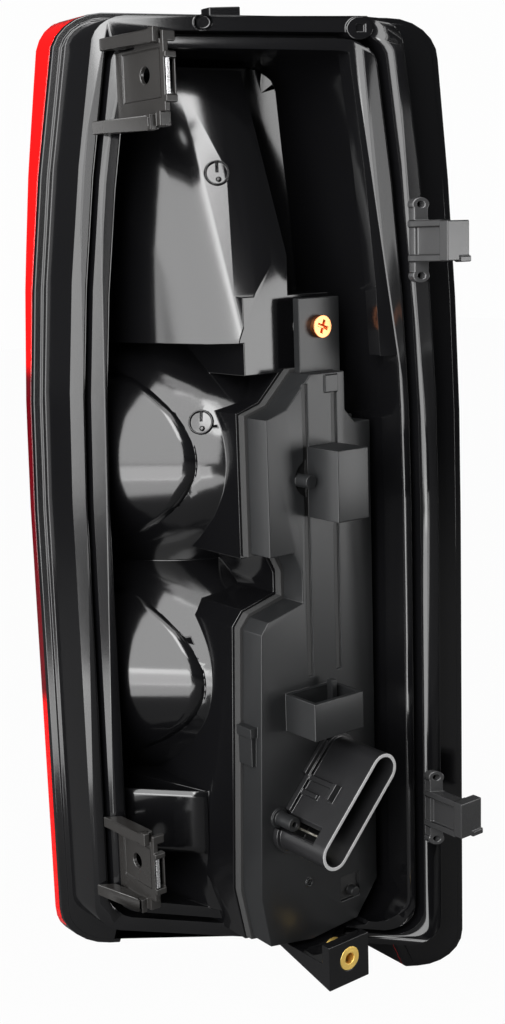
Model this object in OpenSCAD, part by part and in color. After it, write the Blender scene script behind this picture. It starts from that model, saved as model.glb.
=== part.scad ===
// Tail light cluster for the rear corner of a family car.
// All sizes in mm. X points outboard, Y points from the car body out to the lens, Z points up.
// The origin is the centre of the face of the brass insert in the lower arm.

/* [Lamp body] */

// turn of the lens plane from the car body face, degrees
lamp_turn = 35; // [33:0.5:36]
// half width of the flange measured across the car
flange_half = 79; // [78:0.5:80]
// top of the flange
flange_top = 218; // [216:0.5:220]
// bottom of the flange, inboard corner
flange_bottom = 208; // [207:0.5:210]
// drop of the bottom edge towards the outboard corner
bottom_drop = 21; // [19:0.5:22]
// thickness of the flange
flange_thick = 3; // [2.5:0.1:3.5]
// height of the ridge rim over the flange
rim_height = 17; // [16:0.25:17.5]
// wall of the housing moulding
wall = 2.5; // [2.2:0.1:2.8]
// depth of the groove between the two ridges
groove_depth = 8; // [6:0.5:9]
// how deep the bowls stand behind the seal pad, as a paraboloid factor
bowl_factor = 61.9; // [60:0.5:64]
// spacing of the bulbs up the lamp
bulb_pitch = 102; // [100:0.5:103]
// distance of the bulb axes from the middle of the lamp
bulb_x = 5; // [4:0.5:6]

/* [Lens] */

// radius of the lens round the corner
lens_radius = 127; // [126.5:0.1:128]
// thickness of the lens
lens_wall = 3; // [2.5:0.1:3.2]
// height of the reverse window
window_height = 104; // [96:1:108]

/* [Bulb carrier] */

// front face of the carrier, measured from the lens plane axis
carrier_front = 36; // [35.5:0.1:36.5]
// thickness of the carrier plate
carrier_plate = 2.5; // [2.2:0.1:2.8]
// depth of the carrier tray
carrier_depth = 13.5; // [13:0.1:14]
// thickness of the pressed seal
seal_thick = 4; // [3.5:0.1:4.5]
// how far the raised boxes stand off the carrier
box_stand = 20; // [18:0.5:21]
// width of the grooves in the carrier face
rib_groove = 3; // [2.5:0.1:3.5]
// radius of the carrier screw head
screw_head = 5; // [4.5:0.1:5.5]
// radius of the carrier screw shank
screw_shank = 2.5; // [2.3:0.1:2.7]

/* [Connector] */

// tilt of the connector from upright, degrees
socket_tilt = 43; // [40:0.5:45]
// straight length between the two round ends
socket_length = 42; // [41:0.25:43]
// outer radius of the round ends
socket_radius = 7.5; // [7.2:0.1:7.8]
// how far the shroud stands off the carrier
socket_stand = 32; // [30:0.5:33]
// wall of the shroud
socket_wall = 1.8; // [1.6:0.1:2]
// pins in the socket
pin_count = 10; // [8:1:11]
// spacing of the pins
pin_pitch = 4; // [3.8:0.1:4.2]

/* [Mounting] */

// outer radius of the brass insert
insert_radius = 5.5; // [5.2:0.1:6]
// radius of the tapped hole in the insert
tapped_radius = 2.5; // [2.4:0.05:2.6]
// length of the insert
insert_length = 12; // [11:0.5:13]
// width of the lower arm
arm_width = 23.5; // [23:0.25:25]
// reach of the lower arm face
arm_face = 60; // [59:0.25:61]
// radius of the hole in the clip brackets
clip_hole = 3.3; // [3.1:0.1:3.5]
// sheet of the spring plates
spring_sheet = 0.6; // [0.5:0.05:0.7]
// height of the snap peg stems off the rim
peg_stand = 19; // [18:0.5:20]

/* [Hidden] */

$fn = 48;
mount_shift = [-0.7, 60, 196];
pad_y = -carrier_front + carrier_depth + seal_thick;
seal_y = -carrier_front + carrier_depth;
rim_n = -rim_height;
lens_end_l = flange_half * tan(lamp_turn) + 7.7;
lens_end_r = -flange_half * tan(lamp_turn) + 13.3;
chord_y = (lens_end_l - lens_end_r) / 2;
chord = norm([flange_half, chord_y]);
axis_d = sqrt(lens_radius * lens_radius - chord * chord);
axis_x = -axis_d * chord_y / chord;
axis_y = (lens_end_l + lens_end_r) / 2 - axis_d * flange_half / chord;
ridge_l = flange_half - 4;
ridge_r = flange_half - 21.5;
floor_radius = lens_radius - 10;
bulb_1_z = 27;
bulb_2_z = bulb_1_z - bulb_pitch;
upper_split_z = bulb_1_z + bulb_pitch / 2;
lower_split_z = bulb_2_z - bulb_pitch / 2;
bulb_3_z = lower_split_z - 34;
screw_x = 18;
screw_z = 83.5;
insert_x = 0.7;
insert_z = -196;
socket_x = 1.4;
socket_z = -124;
socket_floor = 4;
base_radius = 9;
stem_radius = 5.2;

// outline of the lamp: hl, hr half widths; zt top, tr its drop; zb bottom left, dr its drop to the right;
// kl, kr bows of the sides; r corners; mid extra points along the bottom edge
function bow(z, k) = pow(max(0, z), 2) / k;
function side_l(z, hl, kl) = -hl + bow(z, kl);
function side_r(z, hr, kr) = hr - bow(z, kr);
function lamp_outline(hl, hr, zt, tr, zb, dr, kl, kr, r, mid) = concat(
    [for (i = [0:8]) let (z = zb + r + (zt - r - zb - r) * i / 8) [side_l(z, hl, kl), z]],
    [for (a = [165:-15:90])
        [side_l(zt - r, hl, kl) + r + r * cos(a), zt - r + r * sin(a)]],
    [for (a = [90:-15:15])
        [side_r(zt - tr - r, hr, kr) - r + r * cos(a), zt - tr - r + r * sin(a)]],
    [for (i = [8:-1:0]) let (z = zb - dr + r + (zt - tr - r - zb + dr - r) * i / 8) [side_r(z, hr, kr), z]],
    [for (a = [-15:-15:-90]) [hr - r + r * cos(a), zb - dr + r + r * sin(a)]],
    mid,
    [for (a = [-90:-15:-165]) [-hl + r + r * cos(a), zb + r + r * sin(a)]]);

function flange_pts(d) = lamp_outline(flange_half - d, flange_half - d, flange_top - d, 5, -flange_bottom + d,
    bottom_drop, 2750, 5000, 18 - d,
    [[flange_half - 23 + d, -flange_bottom - bottom_drop + d],
    [flange_half - 29 + d, -flange_bottom - bottom_drop + 18 + d],
    [-flange_half + 25 - d, -flange_bottom + 13 + d], [-flange_half + 22 - d, -flange_bottom + d]]);
function ridge_pts(dl, dr, dv) = lamp_outline(ridge_l - dl, ridge_r - dr, flange_top - 4 - dv, 3,
    -flange_bottom + 15 + dv, bottom_drop - 5.5, 2750, 3612, 12, []);
function rim_y(x) = (rim_n - x * sin(lamp_turn)) / cos(lamp_turn);
function carrier_pts(d) = [
    [6 - 0.41 * d, 64 + d], [25.3 + d, 64 + d], [25.3 + d, 47 + 0.4 * d], [31 + 0.4 * d, 41 + d],
    [40 + d, 41 + d],
    [40 + d, -178 - 0.4 * d], [27 + 0.4 * d, -194 - d], [-1, -195.5 - d], [-25 - 0.5 * d, -191 - d],
    [-29.5 - d, -167], [-25 - d, -46 + 0.4 * d], [-21 - 0.4 * d, -41 + d], [-1.4 - d, -36 + d],
    [-1.4 - d, -22 - d], [-6 - d, -13 - d], [-19 - d, -13 - d], [-19 - d, 46.6 + 0.73 * d],
    [-8 - 0.53 * d, 50 + 0.88 * d]];

// solid with the given outline in X and Z, from y0 to y1
module along_y(pts, y0, y1) {
    translate([0, y1, 0])
        rotate([90, 0, 0])
            linear_extrude(height = y1 - y0)
                polygon(pts);
}

// layer parallel to the lens plane
module slab(n0, n1) {
    rotate([0, 0, -lamp_turn])
        translate([-300, n0, -300])
            cube([600, n1 - n0, 600]);
}

// body of the lens barrel with radius r at mid height
module barrel(r) {
    translate([axis_x, axis_y, 0])
        rotate_extrude($fn = 96)
            polygon(concat([[0, -260], [r, -260]], [for (z = [0:40:240]) [r - z * z / 8000, z]], [[0, 240]]));
}

// rod along Y from y0 to y1 at x, z
module rod(x, z, r, y0, y1) {
    translate([x, y0, z])
        rotate([-90, 0, 0])
            cylinder(h = y1 - y0, r = r);
}

// block between two corners
module block(a, b) {
    translate(a)
        cube(b - a);
}

// bowl about a bulb axis, grown by t inwards
module bowl(z, t) {
    v = -22.1 + t;
    k = bowl_factor - 1.16 * t;
    translate([bulb_x, 0, z])
        rotate([-90, 0, 0])
            rotate_extrude($fn = 72)
                polygon(concat([for (r = [0:7.5:75]) [r, v + r * r / k]], [[0, v + 5625 / k]]));
}

// leaning trough of the top chamber
module trough(t) {
    intersection() {
        translate([0, 0, 104])
            rotate([-19.8, 0, 0])
                translate([0, 0, -60])
                    linear_extrude(height = 200)
                        polygon(concat(
                            [for (x = [-63:9:9]) [x - t, -21 + t + pow(x - 9, 2) / (bowl_factor - 1.16 * t)]],
                            [[9 - t, 160], [-63 - t, 160]]));
        block([-80, pad_y + t, upper_split_z + t], [60, 120, 194 - t]);
    }
}

// faceted box of the bottom chamber
module low_box(t) {
    translate([0, 0, bulb_3_z - 30 + t])
        linear_extrude(height = lower_split_z - bulb_3_z + 30 - 2 * t)
            polygon([[-60, 36 + 1.6 * t], [-16, pad_y + t], [40 - t, pad_y + t], [40 - t, 120], [-60, 120]]);
}

// inboard flank that cuts every bowl off steeply
module flank(t) {
    translate([0, 0, -250])
        linear_extrude(height = 500)
            polygon([[-14 + t, -60], [150, -60], [150, 130], [-69 + t, 130]]);
}

// all the bowl spaces together, t inside the outer skin
module bowl_space(t) {
    intersection() {
        union() {
            intersection() {
                union() {
                    bowl(bulb_1_z, t);
                    bowl(bulb_2_z, t);
                }
                block([-80, pad_y + t, lower_split_z + t], [80, 120, upper_split_z - t]);
            }
            trough(t);
            low_box(t);
        }
        flank(t);
    }
    along_y(carrier_pts(2.5 - t), pad_y + t, 100);
    block([-16 + t, pad_y + t, 64 + t], [32 - t, 100, 97.5 - t]);
}

// ring of the double ridge rim, groove on the body side, hollow on the lens side
module rim() {
    difference() {
        along_y(ridge_pts(0, 0, 0), -100, 100);
        along_y(ridge_pts(13, 13, 13), -101, 101);
        difference() {
            along_y(ridge_pts(5, 6.5, 6), -101, 101);
            along_y(ridge_pts(7.5, 10, 8.5), -102, 102);
            slab(rim_n + groove_depth, 200);
        }
        difference() {
            along_y(ridge_pts(wall, wall, wall), -101, 101);
            along_y(ridge_pts(13 - wall, 13 - wall, 13 - wall), -102, 102);
            slab(-200, rim_n + groove_depth + wall);
        }
        slab(-200, rim_n);
    }
}

// ledge inside the outboard rim of the top chamber
module ledge() {
    intersection() {
        difference() {
            along_y(ridge_pts(12.5, 12.5, 12.5), -100, 60);
            along_y(ridge_pts(-20, 19, 0), -101, 61);
        }
        slab(rim_n, rim_n + 6);
        block([20, -100, 70], [80, 60, 230]);
    }
}

// side wall and floor of the bowls
module bowls() {
    difference() {
        intersection() {
            along_y(ridge_pts(12.5, 12.5, 12.5), -40, 100);
            union() {
                difference() {
                    bowl_space(0);
                    bowl_space(wall);
                }
                difference() {
                    barrel(floor_radius + wall);
                    barrel(floor_radius);
                    bowl_space(wall);
                }
            }
        }
        along_y(carrier_pts(-6), -60, pad_y + wall + 1);
    }
}

// lower arm that carries the brass insert
module lower_arm() {
    ax0 = insert_x - 0.4 - arm_width / 2;
    ax1 = ax0 + arm_width;
    difference() {
        translate([ax0, 0, 0])
            rotate([90, 0, 90])
                linear_extrude(height = arm_width)
                    polygon([[-arm_face, insert_z - 12], [-arm_face, insert_z + 9], [-12, insert_z + 9],
                        [-12, insert_z]]);
        translate([ax0 + wall, 0, 0])
            rotate([90, 0, 90])
                linear_extrude(height = arm_width - 2 * wall)
                    polygon([[-arm_face + insert_length + 2, insert_z - 5],
                        [-arm_face + insert_length + 2, insert_z + 20], [-30, insert_z + 20],
                        [-30, insert_z + 1]]);
    }
}

// round mark standing off the bowl skin at p, facing n
module disc_mark(p, n) {
    translate(p)
        rotate([0, acos(n[2] / norm(n)), atan2(n[1], n[0])]) {
            difference() {
                translate([0, 0, -2])
                    cylinder(h = 2.9, r = 5.4);
                translate([0, 0, -3])
                    cylinder(h = 5, r = 4.8);
            }
            translate([2.8, 0.6, -1.5])
                cylinder(h = 2.2, r = 0.9);
            translate([-5, -0.35, -1.5])
                cube([4.4, 0.7, 2.1]);
        }
}

// marks, locating lug and screw eye that stand on the housing
module small_features() {
    disc_mark([-11.9, 1.9, 150.1], [-0.68, -0.94, 0.34]);
    disc_mark([-27.3, -0.6, 43.9], [-1.04, -1, 0.55]);
    intersection() {
        block([-19.5, -30, flange_top - 6], [-9, 20, flange_top - 1.6]);
        slab(rim_n + 0.1, rim_n + 5);
    }
    intersection() {
        difference() {
            rod(-22, flange_top - 7.5, 3.2, -60, 30);
            rod(-22, flange_top - 7.5, 2.5, -61, 31);
        }
        slab(rim_n - 0.4, rim_n + 2);
    }
    intersection() {
        difference() {
            rod(31.2, flange_top - 11.5, 4.6, -60, 30);
            block([30, -61, flange_top - 13], [33, 31, flange_top - 10]);
        }
        slab(rim_n - 0.8, rim_n + 4);
    }
}

module rear_housing() {
    color([0.05, 0.05, 0.055])
        translate(mount_shift)
            difference() {
                union() {
                    difference() {
                        union() {
                            intersection() {
                                along_y(flange_pts(0), -100, 110);
                                slab(0.8, flange_thick);
                            }
                            intersection() {
                                along_y(flange_pts(2.5), -100, 110);
                                slab(0, flange_thick);
                            }
                        }
                        along_y(ridge_pts(wall, wall, wall), -101, 111);
                    }
                    intersection() {
                        rim();
                        barrel(floor_radius + wall);
                        union() {
                            slab(-30, flange_thick);
                            along_y(ridge_pts(10.5, 10.5, 10.5), -100, 100);
                        }
                    }
                    intersection() {
                        bowls();
                        barrel(floor_radius + wall);
                    }
                    lower_arm();
                    ledge();
                    small_features();
                    intersection() {
                        along_y(carrier_pts(2.5), pad_y, 40);
                        along_y(ridge_pts(1, 1, 4), -100, 100);
                        block([-60, -100, -230], [60, 100, -180]);
                        slab(-60, -10);
                    }
                    rod(screw_x, screw_z, 6.5, -24, -4);
                }
                along_y(carrier_pts(2.5), -55, pad_y);
                rod(screw_x, screw_z, screw_shank, -30, 10);
                rod(insert_x, insert_z, insert_radius, -arm_face - 1, -arm_face + insert_length);
            }
}

module lens_shell(r, d) {
    intersection() {
        along_y(flange_pts(d), -80, 110);
        barrel(r);
        slab(flange_thick - (d > 0 ? 1 : 0), 200);
    }
}

module window_zone(t) {
    block([19 - flange_half, -100, -window_height / 2 - 26 + t],
        [flange_half - 19 - t, 110, window_height / 2 - 26 - t]);
}

module red_lens() {
    color([0.62, 0.02, 0.03])
        translate(mount_shift)
            difference() {
                lens_shell(lens_radius, 0);
                lens_shell(lens_radius - lens_wall, lens_wall);
                difference() {
                    window_zone(0);
                    barrel(lens_radius - 1.5);
                }
                intersection() {
                    window_zone(3);
                    barrel(lens_radius);
                    block([24 - flange_half, -100, -200], [200, 200, 200]);
                }
            }
}

module reverse_window() {
    color([0.9, 0.92, 0.94])
        translate(mount_shift)
            difference() {
                intersection() {
                    window_zone(0);
                    barrel(lens_radius);
                }
                barrel(lens_radius - 1.5);
            }
}

module reflex_reflector() {
    color([0.55, 0.01, 0.02])
        translate(mount_shift)
            difference() {
                intersection() {
                    block([34 - flange_half, 0, bulb_3_z - 26], [flange_half - 34, 110, bulb_3_z + 48]);
                    barrel(lens_radius - lens_wall);
                }
                barrel(lens_radius - lens_wall - 2);
            }
}

module bulb_carrier() {
    color([0.16, 0.16, 0.17])
        translate(mount_shift)
            difference() {
                union() {
                    along_y(carrier_pts(0), -carrier_front, seal_y);
                    block([7, -28, 61], [30, -24, 96]);
                    block([3, -carrier_front - box_stand, 2], [20.5, -carrier_front + 1, 33]);
                    block([-12.8, -carrier_front - box_stand, -92], [15.3, -carrier_front + 1, -75]);
                    block([-29.3, -carrier_front + 4, -106], [-24, seal_y, -91]);
                    block([-30.3, -carrier_front + 3, -92.5], [-24, seal_y, -88]);
                    rod(-18.4, -131, 4.5, -carrier_front - 1.2, -carrier_front + 1);
                    rod(-18.4, -131, 3.2, -carrier_front - 11, -carrier_front + 1);
                    rod(-1.2, 18.8, 2.9, -carrier_front - 7.5, -carrier_front + 2);
                    rod(24.5, -179.5, 2.4, -carrier_front - 2, -carrier_front + 1);
                    block([7.5, -carrier_front - 8, -90.5], [10.5, -carrier_front - 4.5, -71.5]);
                    rod(-2.1, -167, 2.2, -carrier_front - 0.8, -carrier_front + 1);
                    block([13.6, -carrier_front - 0.9, 55.5], [20.9, -carrier_front + 1, 63]);
                }
                difference() {
                    block([17.2, -carrier_front - 0.1, -183], [28.6, -carrier_front + 1.6, -171]);
                    rod(24.5, -179.5, 2.4, -60, 0);
                }
                difference() {
                    rod(4.5, 19, 8.3, -carrier_front - 0.1, -carrier_front + 1.6);
                    rod(-1.2, 18.8, 2.9, -60, 0);
                    block([3, -60, 2], [20.5, 0, 33]);
                }
                along_y(carrier_pts(-carrier_plate), -carrier_front + carrier_plate, 0);
                for (x = [1, 17.5])
                    block([x, -carrier_front - 0.1, -70], [x + rib_groove, -carrier_front + 1, 60]);
                difference() {
                    block([-10.8, -carrier_front - box_stand + 2, -90], [13.3, -carrier_front - 2, -70]);
                    block([7.5, -carrier_front - 8, -90.5], [10.5, -carrier_front - 4.5, -71.5]);
                }
                rod(screw_x, screw_z, screw_shank + 0.3, -40, 0);
                rod(-18.4, -131, 1.2, -60, -carrier_front - 8);
                rod(-2.1, -167, 1.3, -60, -carrier_front + 0.6);
                pins_at(0.05, -60, 0);
            }
}

module carrier_seal() {
    color([0.03, 0.03, 0.03])
        translate(mount_shift)
            difference() {
                along_y(carrier_pts(1.5), seal_y, pad_y);
                along_y(carrier_pts(-4), seal_y - 1, pad_y + 1);
            }
}

module carrier_screw() {
    color([0.72, 0.42, 0.22])
        translate(mount_shift)
            difference() {
                union() {
                    rod(screw_x, screw_z, screw_head, -31, -28);
                    rod(screw_x, screw_z, screw_shank, -28.5, -6);
                }
                translate([screw_x, -31, screw_z])
                    rotate([0, 20, 0]) {
                        cube([5.6, 3.4, 1.2], center = true);
                        cube([1.2, 3.4, 5.6], center = true);
                    }
            }
}

// the turned frame of the connector
module socket_frame() {
    translate([socket_x, 0, socket_z])
        rotate([0, socket_tilt, 0])
            children();
}

module stadium(r, y0, y1) {
    h = socket_length / 2;
    rod(0, h, r, y0, y1);
    rod(0, -h, r, y0, y1);
    block([-r, y0, -h], [r, y1, h]);
}

module pins_at(g, y0, y1) {
    socket_frame()
        for (i = [0:pin_count - 1])
            translate([-2.5, 0, (i - (pin_count - 1) / 2) * pin_pitch])
                block([-1 - g, y0, -0.4 - g], [1 + g, y1, 0.4 + g]);
}

// ribs and lug that the plug latches behind
module latch_ramp() {
    x = -socket_radius;
    y = -carrier_front;
    block([x - 1.4, y - 21, 2.6], [x + 1, y, 5]);
    block([x - 3.4, y - 22, -3], [x + 1, y - 19.5, 5]);
    block([x - 1.4, y - 13, -4.4], [x + 1, y, -2.2]);
    block([x - 4, y - 2, 4], [x + 1, y, 22]);
}

module connector_shell() {
    color([0.07, 0.07, 0.075])
        translate(mount_shift)
            difference() {
                socket_frame() {
                    difference() {
                        union() {
                            stadium(socket_radius, -carrier_front - socket_stand, -carrier_front);
                            stadium(socket_radius + 1.8, -carrier_front - 3, -carrier_front);
                            latch_ramp();
                        }
                        stadium(socket_radius - socket_wall, -carrier_front - socket_stand - 1,
                            -carrier_front - socket_floor);
                    }
                }
                pins_at(0.05, -60, 0);
                rod(-18.4, -131, 4.8, -60, 0);
            }
}

module connector_pins() {
    color([0.75, 0.72, 0.62])
        translate(mount_shift)
            pins_at(0, -58, -carrier_front + carrier_plate);
}

module contact_strips() {
    y0 = -carrier_front + carrier_plate;
    color([0.72, 0.6, 0.35])
        translate(mount_shift)
            union() {
                block([-10, y0, -166], [20, y0 + 0.8, -105]);
                block([1.6, y0, -110], [12, y0 + 0.8, 33]);
            }
}

module bulb_glass(z) {
    color([0.9, 0.9, 0.92, 0.4])
        translate(mount_shift)
            translate([bulb_x, 0, z])
                rotate([-90, 0, 0])
                    difference() {
                        union() {
                            translate([0, 0, -22])
                                cylinder(h = 16, r = stem_radius);
                            sphere(r = 9.5);
                            translate([0, 0, 3])
                                cylinder(h = 6, r = 9);
                            translate([0, 0, 9])
                                sphere(r = 9);
                        }
                        sphere(r = 8.6);
                        translate([0, 0, 3])
                            cylinder(h = 6, r = 8);
                        translate([0, 0, 9])
                            sphere(r = 8);
                    }
}

module bulb_base(z) {
    y0 = -carrier_front + carrier_plate + 0.8;
    color([0.1, 0.1, 0.11])
        translate(mount_shift)
            difference() {
                union() {
                    rod(bulb_x, z, base_radius, y0, -14);
                    block([bulb_x - 11, y0, z - 3], [bulb_x + 11, y0 + 6, z + 3]);
                }
                rod(bulb_x, z, stem_radius, -22, -10);
            }
}

module bulb_glass_1() {
    bulb_glass(bulb_1_z);
}

module bulb_glass_2() {
    bulb_glass(bulb_2_z);
}

module bulb_glass_3() {
    bulb_glass(bulb_3_z);
}

module bulb_base_1() {
    bulb_base(bulb_1_z);
}

module bulb_base_2() {
    bulb_base(bulb_2_z);
}

module bulb_base_3() {
    bulb_base(bulb_3_z);
}

module brass_insert() {
    color([0.8, 0.62, 0.25])
        translate(mount_shift)
            difference() {
                rod(insert_x, insert_z, insert_radius, -arm_face, -arm_face + insert_length);
                rod(insert_x, insert_z, tapped_radius, -arm_face - 1, -arm_face + insert_length + 1);
            }
}

// x of the brackets and pegs beside the ridge at height z
function clip_x(z) = side_l(z, ridge_l, 2750) + 10;
function peg_x(z) = side_r(z, ridge_r, 3612) - 3.5;

// arm that leans out from x0 on the rim to x1 at its tip
module clip_arm(x0, x1, tip, z0, z1) {
    translate([0, 0, z0])
        linear_extrude(height = z1 - z0)
            polygon([[x0 - 3, rim_y(x0 - 3) + 4], [x1 - 3, tip], [x1 + 3, tip], [x0 + 4, rim_y(x0 + 4) + 4]]);
}

// plate with a hole between two arms, reach off the rim
module clip_bracket(z, h, reach) {
    x = clip_x(z);
    tip = rim_y(x) - reach;
    intersection() {
        difference() {
            union() {
                block([x, tip, z - h / 2], [x + 2.5, rim_y(x) + 4, z + h / 2]);
                block([x, tip - 1, z - h / 2 - 4], [x + 2.5, tip + 20, z + h / 2 + 2]);
                block([x, tip + 8, z - h / 2 - 6], [x + 2.5, rim_y(x) + 4, z]);
                clip_arm(x - 2.5, x, tip + 3.5, z + h / 2 + 1, z + h / 2 + 6);
                clip_arm(x - 7, x, tip + 8, z - h / 2 - 10.5, z - h / 2 - 5);
                block([x - 3, tip + 1.5, z + h / 2 + 0.5], [x, tip + 5, z + h / 2 + 6.5]);
                block([x - 3, tip + 6, z - h / 2 - 11], [x, tip + 9.5, z - h / 2 - 4.5]);
                block([x, tip - 1, z + h / 2 + 1], [x + 6, tip + 1, z + h / 2 + 5]);
                block([x, tip + 3, z - h / 2 - 9.5], [x + 5.5, tip + 9, z - h / 2 - 3.5]);
                block([x, tip - 2.2, z + h / 2 - 5.5], [x + 5.5, tip + 1, z + h / 2 - 3]);
                block([x, tip - 2.2, z - h / 2 - 0.5], [x + 5.5, tip + 1, z - h / 2 + 2.5]);
                block([x + 4.7, tip - 1.6, z - h / 2], [x + 5.5, tip + 0.4, z + h / 2 - 4]);
            }
            block([x - 0.1, tip + 2, z - h / 2 + 1.5], [x + 0.5, rim_y(x) - 5, z + h / 2 - 1.5]);
            block([x - 3.1, tip + 6.8, z - h / 2 - 9], [x - 1, tip + 7.6, z - h / 2 - 6]);
            translate([x - 5, tip + 13.6, z])
                rotate([0, 90, 0])
                    cylinder(h = 12, r = clip_hole);
            spring_body(z, h, reach, spring_sheet);
        }
        slab(-200, rim_n);
    }
}

// folded spring sheet in the end of a bracket plate, leaves s thick
module spring_body(z, h, reach, s) {
    x = clip_x(z);
    tip = rim_y(x) - reach;
    difference() {
        block([x + 0.7, tip - 1.6, z - h / 2 + 1], [x + 2.5, tip + 6, z + h / 2 - 3.5]);
        block([x + 0.7 + s, tip - 1.6 + s, z - h / 2], [x + 2.5 - s, tip + 7, z + h / 2]);
    }
}

module upper_clip_bracket() {
    color([0.13, 0.12, 0.11])
        translate(mount_shift)
            clip_bracket(188, 22, 34.2);
}

module lower_clip_bracket() {
    color([0.13, 0.12, 0.11])
        translate(mount_shift)
            clip_bracket(-153, 22, 28.3);
}

module upper_u_nut() {
    color([0.8, 0.8, 0.8])
        translate(mount_shift)
            spring_body(188, 22, 34.2, spring_sheet);
}

module lower_u_nut() {
    color([0.8, 0.8, 0.8])
        translate(mount_shift)
            spring_body(-153, 22, 28.3, spring_sheet);
}

// peg with a foot on the outer ridge, head drop for a head that leans down
module snap_peg(z, h, drop) {
    x = peg_x(z);
    yr = rim_y(x);
    intersection() {
        difference() {
            union() {
                intersection() {
                    union() {
                        block([x - 2.5, yr - 30, z - h / 2 + 3], [x + 2.5, yr + 30, z + h / 2 - 3]);
                        rod(x, z - h / 2 + 3, 3, yr - 30, yr + 30);
                        rod(x, z + h / 2 - 3, 3, yr - 30, yr + 30);
                    }
                    slab(rim_n - 3, rim_n);
                }
                block([x - 1.2, yr - peg_stand, z - 8], [x + 1.2, yr + 20, z + 7.5]);
                block([x - 3, yr - peg_stand + 1, z + 5.5], [x + 3, yr + 20, z + 8.3]);
                block([x - 3, yr - peg_stand + 1, z - 9], [x + 3, yr + 20, z - 6.2]);
                translate([0, 0, -drop])
                    block([x - 4, yr - peg_stand - 4, z - 8.3], [x + 9, yr - peg_stand + 1, z + 8.3]);
                translate([0, 0, -drop])
                    block([x + 3, yr - peg_stand - 4.6, z - 9], [x + 9.6, yr - peg_stand - 1, z - 6.5]);
            }
            rod(x, z - h / 2 + 3, 1.3, yr - 60, yr + 60);
            rod(x, z + h / 2 - 3, 1.3, yr - 60, yr + 60);
        }
        slab(-200, rim_n);
    }
}

module upper_snap_peg() {
    color([0.1, 0.1, 0.11])
        translate(mount_shift)
            snap_peg(119, 36, 0.5);
}

module lower_snap_peg() {
    color([0.1, 0.1, 0.11])
        translate(mount_shift)
            snap_peg(-139, 36, -0.5);
}

rear_housing();
red_lens();
reverse_window();
reflex_reflector();
bulb_carrier();
carrier_seal();
carrier_screw();
connector_shell();
connector_pins();
contact_strips();
bulb_glass_1();
bulb_glass_2();
bulb_glass_3();
bulb_base_1();
bulb_base_2();
bulb_base_3();
brass_insert();
upper_clip_bracket();
lower_clip_bracket();
upper_u_nut();
lower_u_nut();
upper_snap_peg();
lower_snap_peg();
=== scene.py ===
import math

import bmesh
import bpy
from mathutils import Matrix, Vector


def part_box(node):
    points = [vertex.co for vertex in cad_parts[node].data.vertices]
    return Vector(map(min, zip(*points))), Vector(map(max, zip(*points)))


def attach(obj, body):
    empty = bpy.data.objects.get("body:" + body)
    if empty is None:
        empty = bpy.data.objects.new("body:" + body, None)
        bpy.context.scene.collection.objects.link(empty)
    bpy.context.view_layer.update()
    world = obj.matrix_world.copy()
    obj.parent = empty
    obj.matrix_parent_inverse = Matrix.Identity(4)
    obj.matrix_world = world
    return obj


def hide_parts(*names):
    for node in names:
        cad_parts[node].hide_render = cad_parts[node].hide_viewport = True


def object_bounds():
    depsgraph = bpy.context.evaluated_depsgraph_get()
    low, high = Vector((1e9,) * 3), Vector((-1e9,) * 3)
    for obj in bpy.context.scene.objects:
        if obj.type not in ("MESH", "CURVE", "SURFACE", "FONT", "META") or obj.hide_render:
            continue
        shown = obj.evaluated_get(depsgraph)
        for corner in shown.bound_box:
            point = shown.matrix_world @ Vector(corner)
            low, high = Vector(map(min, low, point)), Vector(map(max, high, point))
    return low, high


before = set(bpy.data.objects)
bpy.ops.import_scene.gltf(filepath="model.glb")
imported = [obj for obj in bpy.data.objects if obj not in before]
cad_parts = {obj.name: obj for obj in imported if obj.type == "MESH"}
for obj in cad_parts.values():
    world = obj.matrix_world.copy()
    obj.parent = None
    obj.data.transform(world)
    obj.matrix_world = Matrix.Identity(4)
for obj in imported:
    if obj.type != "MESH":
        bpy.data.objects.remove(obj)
cad_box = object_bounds()


# The rear housing is one large moulding in glossy black plastic: flange, double ridge rim,
# reflector bowls and lower arm. Its inner face is vacuum metallised to throw the light out.
# Mould radii round its edges, and the gloss wavers slightly where the walls sank on cooling.
lens_turn = math.radians(35)
lamp_point = Vector((-0.0007, 0.060, 0.196))
rim_level = -0.017
same_level = 3e-5
merge_distance = 5e-5
flat_angle = math.radians(0.6)
brow_angle = math.radians(40)
brow_steps = 4
sunk_tone, proud_tone = 0.75, 1.3
skin_strength = 0.6


def off_lens_plane(point):
    place = point - lamp_point
    return place.x * math.sin(lens_turn) + place.y * math.cos(lens_turn)


def rim_brow(edge):
    return all(abs(off_lens_plane(vert.co) - rim_level) < same_level for vert in edge.verts)


def lamp_piece(name, bm):
    mesh = bpy.data.meshes.new(name)
    bm.to_mesh(mesh)
    bm.free()
    piece = bpy.data.objects.new(name, mesh)
    bpy.context.scene.collection.objects.link(piece)
    return piece


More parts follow.
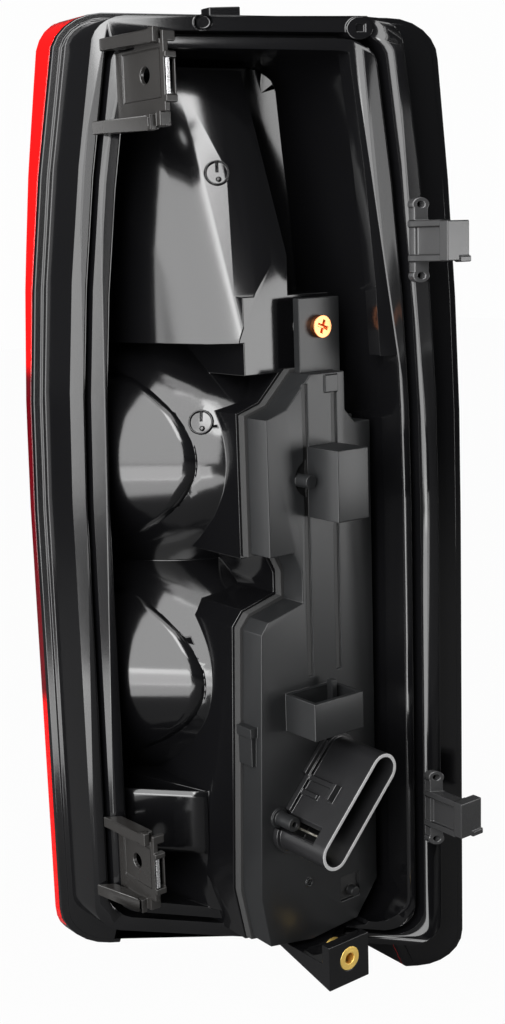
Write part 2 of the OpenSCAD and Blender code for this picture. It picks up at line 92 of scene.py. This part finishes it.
def moulded(node, radius, steps=2, crease=28, is_brow=None, brow_radius=0.0):
    crease_angle = math.radians(crease)
    bm = bmesh.new()
    bm.from_mesh(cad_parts[node].data)
    bmesh.ops.remove_doubles(bm, verts=bm.verts, dist=merge_distance)
    bmesh.ops.dissolve_limit(bm, angle_limit=flat_angle, verts=bm.verts, edges=bm.edges)
    if is_brow:
        brow = []
        for edge in bm.edges:
            sharp = len(edge.link_faces) == 2 and edge.calc_face_angle_signed(0) > brow_angle
            if sharp and is_brow(edge):
                brow.append(edge)
        bmesh.ops.bevel(
            bm,
            geom=brow,
            offset=brow_radius,
            offset_type="OFFSET",
            segments=brow_steps,
            profile=0.5,
            affect="EDGES",
            material=-1,
            clamp_overlap=True,
        )
    for face in bm.faces:
        face.smooth = True
    for edge in bm.edges:
        edge.smooth = len(edge.link_faces) == 2 and edge.calc_face_angle(0) < crease_angle
    piece = lamp_piece(node + "_moulded", bm)
    if radius > 0:
        edge_radius = piece.modifiers.new("edge_radius", "BEVEL")
        edge_radius.width = radius
        edge_radius.segments = steps
        edge_radius.limit_method = "ANGLE"
        edge_radius.angle_limit = crease_angle
        edge_radius.use_clamp_overlap = False
        edge_radius.harden_normals = True
        edge_radius.miter_outer = "MITER_SHARP"
    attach(piece, "root")
    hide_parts(node)
    return piece


def new_finish(name):
    made = bpy.data.materials.new(name)
    made.use_nodes = True
    return made, made.node_tree


def set_sockets(node, values):
    for socket, value in values.items():
        node.inputs[socket].default_value = value


def on_piece(tree):
    return tree.nodes.new("ShaderNodeTexCoord").outputs["Object"]


def cloud(tree, place, values):
    made = tree.nodes.new("ShaderNodeTexNoise")
    set_sockets(made, values)
    tree.links.new(place, made.inputs["Vector"])
    return made.outputs["Fac"]


def tint(tree, pattern, dark, bright):
    tone = tree.nodes.new("ShaderNodeValToRGB")
    tone.color_ramp.elements[0].color = (*dark, 1)
    tone.color_ramp.elements[1].color = (*bright, 1)
    tree.links.new(pattern, tone.inputs["Fac"])
    tree.links.new(tone.outputs["Color"], tree.nodes["Principled BSDF"].inputs["Base Color"])


def haze(tree, pattern, smooth, rough):
    spread = tree.nodes.new("ShaderNodeMapRange")
    set_sockets(spread, {"To Min": smooth, "To Max": rough})
    tree.links.new(pattern, spread.inputs["Value"])
    tree.links.new(spread.outputs["Result"], tree.nodes["Principled BSDF"].inputs["Roughness"])


def relief(tree, pattern, strength, distance):
    bump = tree.nodes.new("ShaderNodeBump")
    set_sockets(bump, {"Strength": strength, "Distance": distance})
    tree.links.new(pattern, bump.inputs["Height"])
    tree.links.new(bump.outputs["Normal"], tree.nodes["Principled BSDF"].inputs["Normal"])


def plastic(name, colour, gloss, swing, grain, depth, patch=9.0):
    made, tree = new_finish(name)
    place = on_piece(tree)
    flow = cloud(tree, place, {"Scale": patch, "Detail": 4})
    tone = tree.nodes.new("ShaderNodeMix")
    tone.data_type = "RGBA"
    tone.inputs["A"].default_value = (*[part * sunk_tone for part in colour], 1)
    tone.inputs["B"].default_value = (*[part * proud_tone for part in colour], 1)
    tree.links.new(flow, tone.inputs["Factor"])
    tree.links.new(tone.outputs["Result"], tree.nodes["Principled BSDF"].inputs["Base Color"])
    haze(tree, flow, gloss - swing, gloss + swing)
    skin = cloud(tree, place, {"Scale": 1 / grain, "Detail": 3})
    relief(tree, skin, skin_strength, depth)
    return made


def metal(name, scale, dark, bright, smooth, rough, stretch=None):
    made, tree = new_finish(name)
    tree.nodes["Principled BSDF"].inputs["Metallic"].default_value = 1.0
    place = on_piece(tree)
    if stretch:
        stretched = tree.nodes.new("ShaderNodeMapping")
        stretched.inputs["Scale"].default_value = stretch
        tree.links.new(place, stretched.inputs["Vector"])
        place = stretched.outputs["Vector"]
    mottle = cloud(tree, place, {"Scale": scale})
    tint(tree, mottle, dark, bright)
    haze(tree, mottle, smooth, rough)
    return made


housing = moulded("rear_housing", 0.0004, is_brow=rim_brow, brow_radius=0.0014)
gloss_black = plastic("gloss_black", (0.0025, 0.0025, 0.0028), 0.13, 0.05, 0.006, 0.00002)
housing.data.materials.append(gloss_black)

mirror_coat = metal("mirror_coat", 14, (0.62, 0.63, 0.65), (0.86, 0.87, 0.88), 0.08, 0.2)
housing.data.materials.append(mirror_coat)
disc_marks = (Vector((-0.0126, 0.0619, 0.3461)), Vector((-0.028, 0.0594, 0.2399)))
disc_reach = 0.0075
coat_middle_x = -0.008
coat_half_width = 0.056
coat_foot, coat_top = 0.012, 0.395
coat_front_y = 0.028
coat_lean = 0.15
for face in housing.data.polygons:
    middle = face.center
    if any((middle - mark).length < disc_reach for mark in disc_marks):
        continue
    inside = abs(middle.x - coat_middle_x) < coat_half_width and coat_foot < middle.z < coat_top
    if inside and face.normal.y > coat_lean and middle.y > coat_front_y:
        face.material_index = 1


# The cheek is the smooth outer flank that runs from the bowls towards the foot of the ridge. It is
# one skin of the housing moulding, in the same gloss black. Its slope was chosen by what it reflects,
# not measured, and its inner edge follows the crease of the bowls.
flank_normal = Vector((-0.96, -0.28, 0.0))
flank_spread = 0.04
cheek_fall = Vector((-0.65, 0.76, 0.0))
cheek_foot_x = -0.0615
cheek_depth = 0.008
cheek_sink = 0.25
cheek_low = 0.040
row_height = 0.003
row_count = 74
row_gap = 0.004
strip_count = 6
least_reach = 0.002
crease_overlap = 0.0008
cheek_wall = 0.0012
flank_faces = []
housing_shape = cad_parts["rear_housing"].data
for poly in housing_shape.polygons:
    if (poly.normal - flank_normal).length < flank_spread:
        flank_faces.append([housing_shape.vertices[index].co for index in poly.vertices])
cheek_rows = []
for step in range(row_count):
    level = cheek_low + row_height * step
    crossings = []
    for corners in flank_faces:
        for first, second in zip(corners, corners[1:] + corners[:1]):
            if (first.z - level) * (second.z - level) < 0:
                share = (level - first.z) / (second.z - first.z)
                crossings.append(first.lerp(second, share))
    if crossings:
        crease_point = max(crossings, key=lambda point: point.x)
        to_wall = (crease_point.x - cheek_foot_x) / -cheek_fall.x
        to_depth = (cheek_depth - off_lens_plane(crease_point)) / cheek_sink
        cheek_rows.append((crease_point, max(least_reach, min(to_wall, to_depth))))
bm = bmesh.new()
lines = []
for crease_point, reach in cheek_rows:
    start = crease_point - cheek_fall * crease_overlap
    line = []
    for strip in range(strip_count + 1):
        line.append(bm.verts.new(start + cheek_fall * reach * strip / strip_count))
    lines.append(line)
for upper, lower in zip(lines[1:], lines[:-1]):
    if upper[0].co.z - lower[0].co.z < row_gap:
        for strip in range(strip_count):
            after = strip + 1
            bm.faces.new((lower[strip], upper[strip], upper[after], lower[after]))
bmesh.ops.recalc_face_normals(bm, faces=bm.faces)
if sum(face.normal.y for face in bm.faces) > 0:
    bmesh.ops.reverse_faces(bm, faces=bm.faces)
bmesh.ops.solidify(bm, geom=bm.faces, thickness=cheek_wall)
bmesh.ops.recalc_face_normals(bm, faces=bm.faces)
for face in bm.faces:
    face.smooth = True
cheek = lamp_piece("bowl_cheek", bm)
cheek.data.materials.append(gloss_black)
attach(cheek, "root")


# The seal is a black foam ring, punched from sheet and squeezed between the carrier and the pad
# of the housing. It keeps water out of the bowls. Closed cells show as a fine pitted skin.
seal = moulded("carrier_seal", 0.0004)
foam_black = plastic("foam_black", (0.012, 0.012, 0.012), 0.85, 0.08, 0.0006, 0.00012, 40)
seal.data.materials.append(foam_black)


# The bulb carrier is a moulded tray in matt grey plastic with a fine spark grain. It holds the
# bulbs and strips inside, and one screw through its top tab holds it to the housing. The floors of
# its grooves are painted near black, a painted shade for their depth.
tray_levels = (0.004, 0.022, 0.024)
least_wall_depth = 0.0022
groove_top, groove_bottom = 0.0245, 0.0262
floor_lean = -0.9


def tray_brow(edge):
    level = edge.verts[0].co.y
    is_level = abs(edge.verts[1].co.y - level) < same_level
    on_tray = min(abs(level - tray_level) for tray_level in tray_levels) < same_level
    wall_depths = []
    for face in edge.link_faces:
        depths = [vert.co.y for vert in face.verts]
        wall_depths.append(max(depths) - min(depths))
    return is_level and on_tray and max(wall_depths) > least_wall_depth


carrier = moulded("bulb_carrier", 0.00035, is_brow=tray_brow, brow_radius=0.0013)
grained_grey = plastic("grained_grey", (0.0085, 0.0088, 0.0092), 0.33, 0.05, 0.0005, 0.00003, 16)
grained_grey.node_tree.nodes["Principled BSDF"].inputs["Specular IOR Level"].default_value = 0.3
# Near black painted shade for the floors of the carrier's grooves.
groove_shade = plastic("groove_shade", (0.0012, 0.0012, 0.0012), 0.5, 0.05, 0.0008, 0.00003, 30)
carrier.data.materials.append(grained_grey)
carrier.data.materials.append(groove_shade)
# Painted shade: the floors of the grooves get the near black material.
for face in carrier.data.polygons:
    if face.normal.y < floor_lean and groove_top < face.center.y < groove_bottom:
        face.material_index = 1


# The carrier screw is a pan head screw in copper coloured plate with a cross recess. It cuts its
# own thread in the boss of the housing. The plate is slightly cloudy.
screw = moulded("carrier_screw", 0.0003)
copper_plate = metal("copper_plate", 380, (0.5, 0.14, 0.05), (0.82, 0.33, 0.14), 0.18, 0.38)
screw.data.materials.append(copper_plate)


# The connector shell is a deep oval shroud in satin black plastic. It guides the wiring plug on to
# the pins, and its base flange is welded to the carrier. Its mouth edge is painted light grey, a
# painted highlight on the faces that look forward.
shell = moulded("connector_shell", 0.0004)
satin_black = plastic("satin_black", (0.007, 0.007, 0.0075), 0.3, 0.05, 0.0008, 0.00003, 20)
mouth_highlight = plastic("mouth_highlight", (0.24, 0.24, 0.24), 0.4, 0.08, 0.0006, 0.00003, 60)
shell.data.materials.append(satin_black)
shell.data.materials.append(mouth_highlight)
# Painted highlight: the forward faces at the mouth get the light grey material.
highlight_depth = 0.0004
mouth_lean = -0.7
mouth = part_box("connector_shell")[0].y + highlight_depth
for face in shell.data.polygons:
    if face.center.y < mouth and face.normal.y < mouth_lean:
        face.material_index = 1


# The pins and contact strips are stamped from tinned brass. Ten pins stand in the shroud, and the
# strips carry the current across the inside of the carrier to the bulb holders.
pins = moulded("connector_pins", 0.0002)
tinned_brass = metal("tinned_brass", 420, (0.48, 0.44, 0.34), (0.95, 0.93, 0.86), 0.22, 0.4)
pins.data.materials.append(tinned_brass)
strips = moulded("contact_strips", 0.0001, 1)
strips.data.materials.append(tinned_brass)


# Each bulb is a capless glass bulb in a black holder. The glass has a pinched stem, two support
# wires and a filament across them, which is a plain rod here instead of a coil.
wire_gap = 0.0028
wire_radius = 0.00025
wire_length = 0.010
wire_drop = 0.0195
filament_radius = 0.0004
filament_length = 0.0058
filament_drop = 0.0147


def rod(bm, radius, length, middle, axis):
    bmesh.ops.create_cone(
        bm,
        cap_ends=True,
        segments=10,
        radius1=radius,
        radius2=radius,
        depth=length,
        matrix=Matrix.Translation(middle) @ Matrix.Rotation(math.pi / 2, 4, axis),
    )


holder_black = plastic("holder_black", (0.02, 0.02, 0.02), 0.5, 0.08, 0.0007, 0.00004, 30)
bulb_glass, glass_tree = new_finish("bulb_glass")
set_sockets(
    glass_tree.nodes["Principled BSDF"],
    {"Transmission Weight": 1.0, "IOR": 1.47, "Base Color": (0.97, 0.98, 0.98, 1)},
)
glass_cloud = cloud(glass_tree, on_piece(glass_tree), {"Scale": 120})
haze(glass_tree, glass_cloud, 0.01, 0.05)
for number in (1, 2, 3):
    holder = moulded("bulb_base_%d" % number, 0.0004)
    holder.data.materials.append(holder_black)
    glass = moulded("bulb_glass_%d" % number, 0.0, crease=50)
    glass.data.materials.append(bulb_glass)
    low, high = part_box("bulb_glass_%d" % number)
    axis = (low + high) / 2
    bm = bmesh.new()
    for side in (-wire_gap, wire_gap):
        rod(bm, wire_radius, wire_length, (axis.x + side, high.y - wire_drop, axis.z), "X")
    rod(bm, filament_radius, filament_length, (axis.x, high.y - filament_drop, axis.z), "Y")
    filament = lamp_piece("filament_%d" % number, bm)
    filament.data.materials.append(tinned_brass)
    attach(filament, "root")


# The reflex reflector is a red prism panel welded to the inside of the lens. It shines back the
# lamps of a car behind. The cube corners on its back are only a fine relief here.
reflex = moulded("reflex_reflector", 0.0003)
reflex_red = plastic("reflex_red", (0.32, 0.003, 0.006), 0.18, 0.05, 0.002, 0.0002, 30)
reflex.data.materials.append(reflex_red)


# The lens is a deep red acrylic cover, moulded in one with its skirt and welded to the flange of
# the housing. A darker band runs round it beside the reverse window. Its underside and the wall
# beside the arch are black here, because the photo shows no red below the flange.
bright_red = (0.82, 0.006, 0.006, 1)
dark_red = (0.13, 0.002, 0.006, 1)
band_foot, band_top = 0.33, 0.655
band_blend = 0.015
lamp_foot, lamp_top = cad_box[0].z, cad_box[1].z
arch_top = -0.012
underside_lean = -0.6
side_lean = -0.8
lens = moulded("red_lens", 0.0006, crease=24)
lens_red, lens_tree = new_finish("lens_red")
lens_shader = lens_tree.nodes["Principled BSDF"]
set_sockets(lens_shader, {"Transmission Weight": 0.55, "IOR": 1.49})
lens_place = on_piece(lens_tree)
lens_axes = lens_tree.nodes.new("ShaderNodeSeparateXYZ")
lens_tree.links.new(lens_place, lens_axes.inputs["Vector"])
lens_height = lens_tree.nodes.new("ShaderNodeMapRange")
set_sockets(lens_height, {"From Min": lamp_foot, "From Max": lamp_top})
lens_tree.links.new(lens_axes.outputs["Z"], lens_height.inputs["Value"])
lens_tone = lens_tree.nodes.new("ShaderNodeValToRGB")
stops = lens_tone.color_ramp.elements
stops[0].position = band_foot - band_blend
stops[1].position = band_foot
stops.new(band_top)
stops.new(band_top + band_blend)
for stop, colour in zip(stops, (bright_red, dark_red, dark_red, bright_red)):
    stop.color = colour
lens_tree.links.new(lens_height.outputs["Result"], lens_tone.inputs["Fac"])
lens_tree.links.new(lens_tone.outputs["Color"], lens_shader.inputs["Base Color"])
lens_cloud = cloud(lens_tree, lens_place, {"Scale": 60})
haze(lens_tree, lens_cloud, 0.04, 0.1)
lens.data.materials.append(lens_red)
lens.data.materials.append(gloss_black)
for face in lens.data.polygons:
    below = face.normal.z < underside_lean and face.center.z < 0
    beside_arch = face.normal.x < side_lean and face.center.z < arch_top
    if below or beside_arch:
        face.material_index = 1


# The reverse window is a clear panel let into the lens and welded round its edge. Fine ribs on
# the face spread the white light.
window = moulded("reverse_window", 0.0003, 1, 24)
window_clear, window_tree = new_finish("window_clear")
set_sockets(
    window_tree.nodes["Principled BSDF"],
    {
        "Transmission Weight": 0.9,
        "IOR": 1.49,
        "Roughness": 0.06,
        "Base Color": (0.93, 0.95, 0.96, 1),
    },
)
window_rib = window_tree.nodes.new("ShaderNodeTexWave")
window_rib.wave_type = "BANDS"
window_rib.bands_direction = "Z"
window_rib.inputs["Scale"].default_value = 60
window_tree.links.new(on_piece(window_tree), window_rib.inputs["Vector"])
relief(window_tree, window_rib.outputs["Fac"], 0.5, 0.0004)
window.data.materials.append(window_clear)


# The insert is turned brass, pressed hot into the lower arm, and takes the fixing screw. Its face
# is faced off in the lathe and its thread shows as fine rings in the hole.
insert = moulded("brass_insert", 0.0003)
lathe_brass, brass_tree = new_finish("lathe_brass")
set_sockets(brass_tree.nodes["Principled BSDF"], {"Metallic": 1.0, "Roughness": 0.5})
brass_ring = brass_tree.nodes.new("ShaderNodeTexWave")
brass_ring.wave_type = "RINGS"
brass_ring.rings_direction = "Y"
brass_ring.inputs["Scale"].default_value = 900
brass_tree.links.new(on_piece(brass_tree), brass_ring.inputs["Vector"])
tint(brass_tree, brass_ring.outputs["Fac"], (0.85, 0.52, 0.1), (1.0, 0.78, 0.26))
relief(brass_tree, brass_ring.outputs["Fac"], 0.4, 0.00005)
insert.data.materials.append(lathe_brass)


# The clip brackets are stiff plastic brackets on the inboard ridge. Two arms carry a plate with a
# hole that drops over a stud on the body. The plates are satin and slightly brown.
satin_brown = plastic("satin_brown", (0.0125, 0.0118, 0.0112), 0.28, 0.06, 0.0007, 0.00003, 24)
for name in ("upper_clip_bracket", "lower_clip_bracket"):
    bracket = moulded(name, 0.0005)
    bracket.data.materials.append(satin_brown)


# A bent strip of spring steel closes the end of each bracket plate and grips the stud. It is
# bright rolled sheet with fine lines along the roll.
roll_lines = (900, 60, 900)
steel_dark = (0.55, 0.55, 0.56)
steel_bright = (0.85, 0.85, 0.86)
rolled_steel = metal("rolled_steel", 1, steel_dark, steel_bright, 0.2, 0.35, roll_lines)
for name in ("upper_u_nut", "lower_u_nut"):
    spring = moulded(name, 0.0002, 1)
    spring.data.materials.append(rolled_steel)


# The snap pegs are black nylon pegs on the outboard ridge. Their heads push through slots in the
# body and hook behind the panel.
nylon_black = plastic("nylon_black", (0.022, 0.022, 0.0225), 0.26, 0.06, 0.0009, 0.00003, 24)
for name in ("upper_snap_peg", "lower_snap_peg"):
    peg = moulded(name, 0.0005)
    peg.data.materials.append(nylon_black)


# The floor is plain pale paper, and the backdrop is the world behind it. Both are white to the
# camera and through clear pieces. In reflections they are dark, so that the gloss stays black.
def seen_directly(tree):
    rays = tree.nodes.new("ShaderNodeLightPath")
    seen = tree.nodes.new("ShaderNodeMath")
    seen.operation = "MAXIMUM"
    tree.links.new(rays.outputs["Is Camera Ray"], seen.inputs[0])
    tree.links.new(rays.outputs["Is Transmission Ray"], seen.inputs[1])
    return seen.outputs["Value"]


floor_gap = 0.0005
floor_size = 4.0
floor_grey = 0.09
floor_white = 0.975
backdrop_grey = 0.07
backdrop_white = 0.985
floor_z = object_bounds()[0].z - floor_gap
bm = bmesh.new()
floor_place = Matrix.Translation((0, 0, floor_z))
bmesh.ops.create_grid(bm, x_segments=1, y_segments=1, size=floor_size, matrix=floor_place)
floor = lamp_piece("floor", bm)
paper, paper_tree = new_finish("paper")
paper_shader = paper_tree.nodes["Principled BSDF"]
set_sockets(paper_shader, {"Roughness": 0.9, "Base Color": (floor_grey, floor_grey, floor_grey, 1)})
paper_glow = paper_tree.nodes.new("ShaderNodeEmission")
paper_share = paper_tree.nodes.new("ShaderNodeMath")
paper_share.operation = "MULTIPLY"
paper_share.inputs[1].default_value = floor_white
paper_mix = paper_tree.nodes.new("ShaderNodeMixShader")
paper_end = paper_tree.nodes["Material Output"]
paper_tree.links.new(seen_directly(paper_tree), paper_share.inputs[0])
paper_tree.links.new(paper_share.outputs["Value"], paper_mix.inputs["Fac"])
paper_tree.links.new(paper_shader.outputs["BSDF"], paper_mix.inputs[1])
paper_tree.links.new(paper_glow.outputs["Emission"], paper_mix.inputs[2])
paper_tree.links.new(paper_mix.outputs["Shader"], paper_end.inputs["Surface"])
floor.data.materials.append(paper)

world = bpy.data.worlds.new("studio")
bpy.context.scene.world = world
world.use_nodes = True
world_tree = world.node_tree
fill = world_tree.nodes["Background"]
set_sockets(fill, {"Color": (0.9, 0.92, 0.95, 1), "Strength": backdrop_grey})
white = world_tree.nodes.new("ShaderNodeBackground")
set_sockets(white, {"Color": (1, 1, 1, 1), "Strength": backdrop_white})
world_mix = world_tree.nodes.new("ShaderNodeMixShader")
world_end = world_tree.nodes["World Output"]
world_tree.links.new(seen_directly(world_tree), world_mix.inputs["Fac"])
world_tree.links.new(fill.outputs["Background"], world_mix.inputs[1])
world_tree.links.new(white.outputs["Background"], world_mix.inputs[2])
world_tree.links.new(world_mix.outputs["Shader"], world_end.inputs["Surface"])


# Soft boxes, placed by what the gloss reflects: a tall one on the left with a narrow key beside it,
# one behind on the left, one on the right and one above. Two cards low on the left lift the bottom
# bowls. All face the lamp, but the card near the floor faces straight up.
lamp_middle = Vector((0.0, 0.02, 0.2))
straight_up = Vector((0.0, 0.0, 1.0))
for name, place, width, height, power in (
    ("left_box", (-0.96, -0.30, 0.60), 0.95, 1.6, 32.0),
    ("key_box", (-0.56, -0.47, 0.86), 0.27, 0.65, 5.5),
    ("back_left_box", (-0.90, 0.40, 0.34), 0.55, 1.0, 8.0),
    ("low_card", (-0.47, -0.10, 0.04), 0.24, 0.15, 1.0),
    ("right_box", (0.62, -0.80, 0.1), 0.6, 0.6, 7.5),
    ("top_box", (-0.25, -0.2, 1.2), 0.7, 0.5, 5.0),
    ("floor_card", (-0.37, -0.12, -0.032), 0.2, 0.34, 1.2),
):
    light = bpy.data.lights.new(name, "AREA")
    light.shape = "RECTANGLE"
    light.size = width
    light.size_y = height
    light.energy = power
    box = bpy.data.objects.new(name, light)
    bpy.context.scene.collection.objects.link(box)
    aim = straight_up if name == "floor_card" else lamp_middle - Vector(place)
    turn = aim.to_track_quat("-Z", "Y").to_matrix().to_4x4()
    box.matrix_world = Matrix.Translation(place) @ turn


# The camera stands where the photograph was taken, a little left of the lamp and above it.
camera_data = bpy.data.cameras.new("camera")
camera_data.sensor_fit = "VERTICAL"
camera_data.sensor_height = 36
camera_data.lens = 49.82
camera_data.clip_start = 0.01
camera = bpy.data.objects.new("camera", camera_data)
bpy.context.scene.collection.objects.link(camera)
camera_place = (-0.3872, -0.4406, 0.3178)
view_forward = Vector((0.6001, 0.7772, -0.1892)).normalized()
view_right = view_forward.cross(Vector((0.1410, 0.1300, 0.9814))).normalized()
view_up = view_right.cross(view_forward)
view_turn = Matrix((view_right, view_up, -view_forward)).transposed().to_4x4()
camera.matrix_world = Matrix.Translation(camera_place) @ view_turn
bpy.context.scene.camera = camera
bpy.context.scene.view_settings.view_transform = "Standard"
